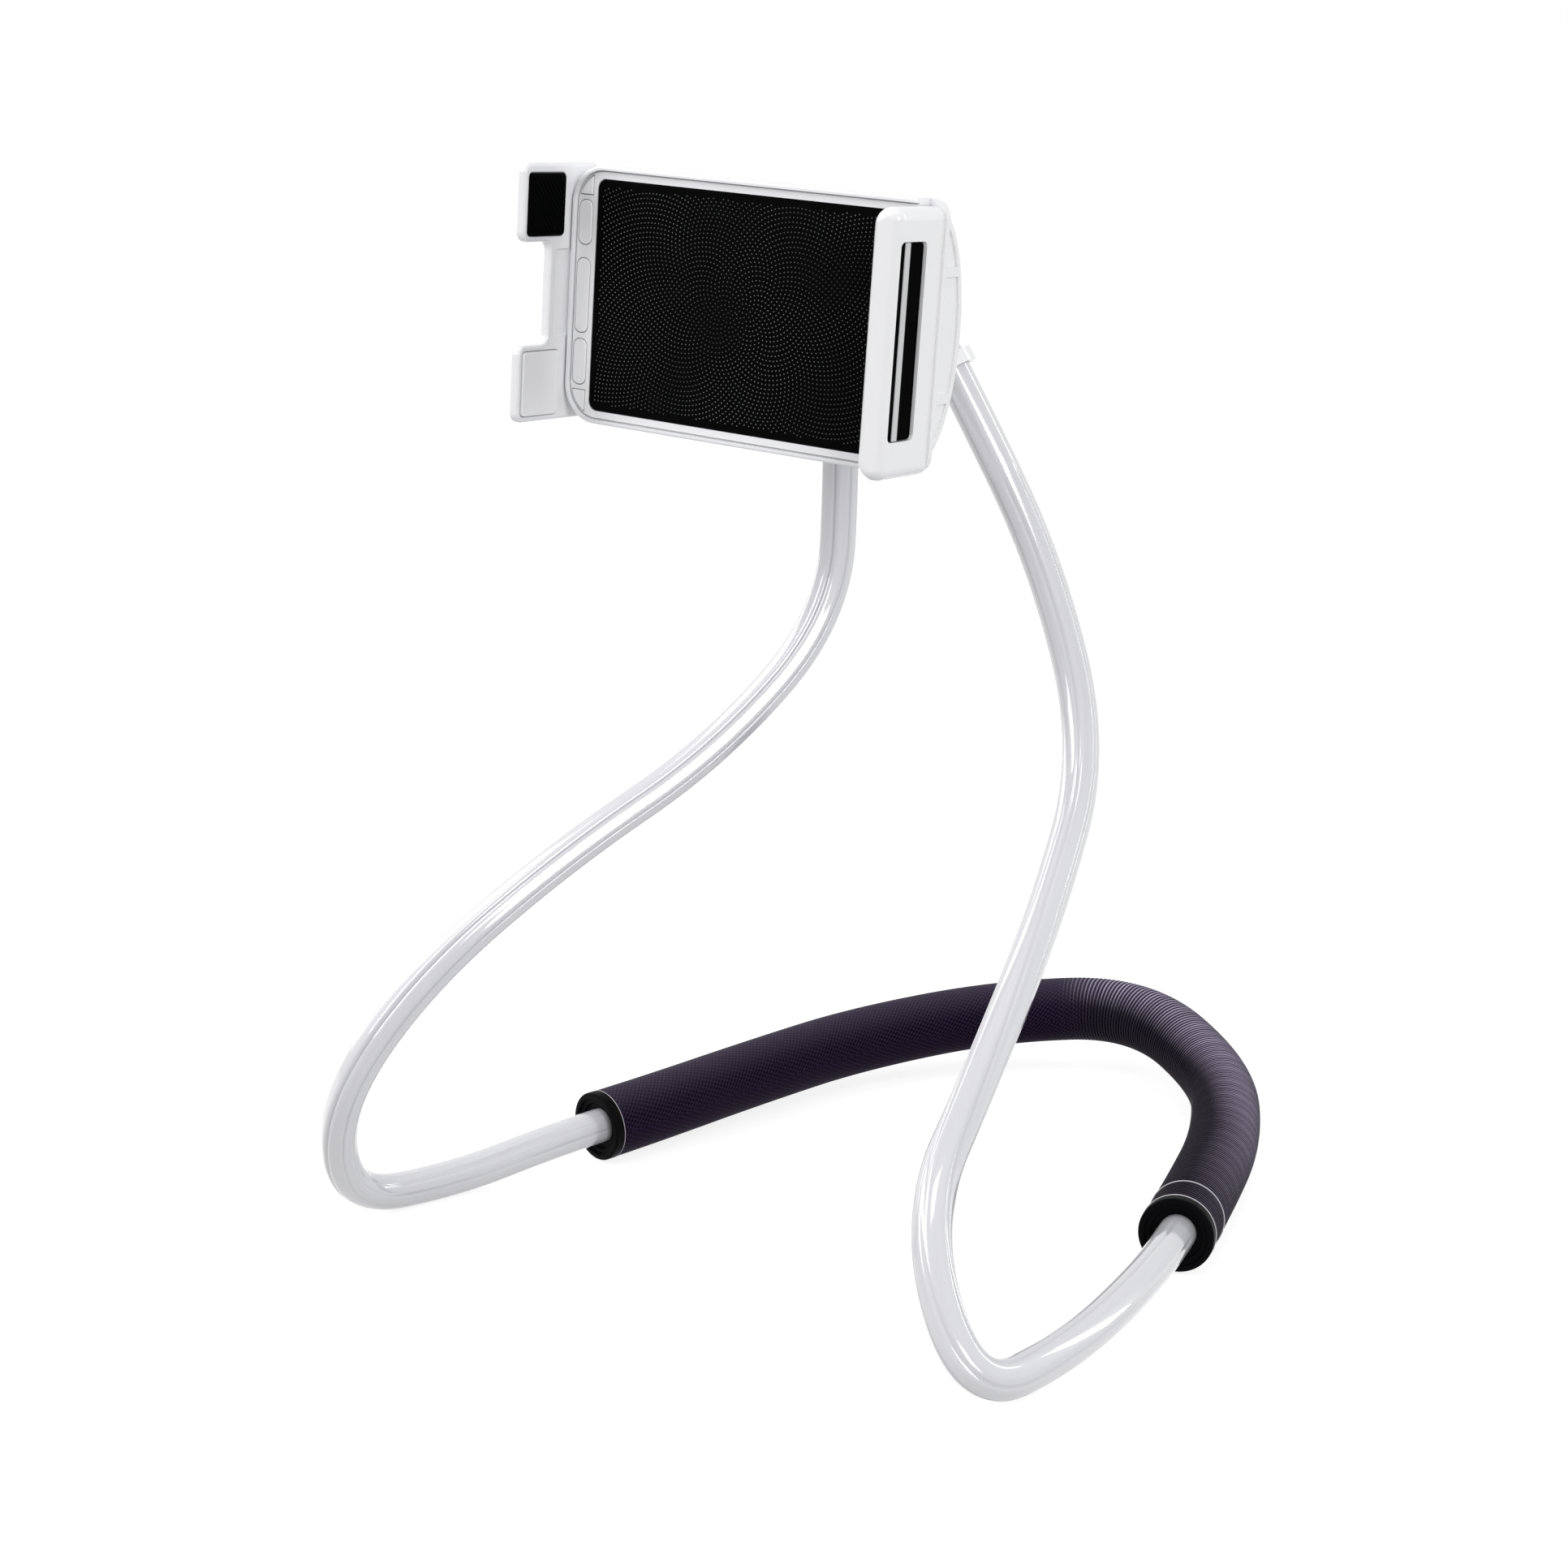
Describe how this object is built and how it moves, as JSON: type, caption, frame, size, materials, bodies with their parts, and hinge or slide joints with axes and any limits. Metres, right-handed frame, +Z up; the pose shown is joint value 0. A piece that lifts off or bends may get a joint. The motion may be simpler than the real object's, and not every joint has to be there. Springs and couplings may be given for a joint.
{
  "type": "neck phone holder",
  "caption": "Bendable white loop with a padded neck sleeve that carries a spring-loaded phone clamp on a swivel hub, worn round the neck or stood on a table.",
  "frame": {"origin": "on the ground under the middle of the bounding box", "axes": "+Z up, -Y the way the phone faces, +X to the right seen from the front"},
  "size_m": [0.1724, 0.2072, 0.225],
  "materials": {
    "white_plastic": "smooth glossy white",
    "tube_plastic": "glossy white with long highlights",
    "sleeve_cloth": "fine dark weave over soft foam",
    "black_rubber": "matt black",
    "grey_rubber": "soft light grey",
    "window_black": "glossy black",
    "window_grey": "light grey strip",
    "steel": "plain steel",
    "bush_plastic": "plain bearing plastic"
  },
  "bodies": {
    "loop": {"bend_tube": "tube_plastic", "tube_tip_cap": "tube_plastic", "neck_pad": "sleeve_cloth", "pad_end_ring_left": "black_rubber", "pad_end_ring_right": "black_rubber", "hub_yoke": "white_plastic", "socket_set_screw": "steel", "hub_washer": "steel", "hub_screw": "steel"},
    "head": {"face_frame": "white_plastic", "grip_pad": "black_rubber", "edge_studs": "grey_rubber", "fixed_jaw": "white_plastic", "fixed_jaw_pad": "window_black", "window_strip": "window_grey", "back_shell": "white_plastic", "shell_screws": "steel", "return_spring_upper": "steel", "return_spring_lower": "steel", "swivel_bush": "bush_plastic", "ring_nut": "white_plastic"},
    "sliding_jaw": {"sliding_jaw": "white_plastic", "upper_claw_pad": "black_rubber", "lower_claw_pad": "white_plastic"}
  },
  "joints": [
    {"name": "head_swivel", "type": "hinge", "parent": "loop", "child": "head", "pos_m": [-0.01385, -0.02059, 0.19475], "axis": [0, 1, 0], "continuous": true},
    {"name": "jaw_slide", "type": "slide", "parent": "head", "child": "sliding_jaw", "axis": [-0.9969, 0, 0.0785], "range_m": [0, 0.028], "stiffness_N_per_m": 120, "springref_m": -0.03}
  ]
}
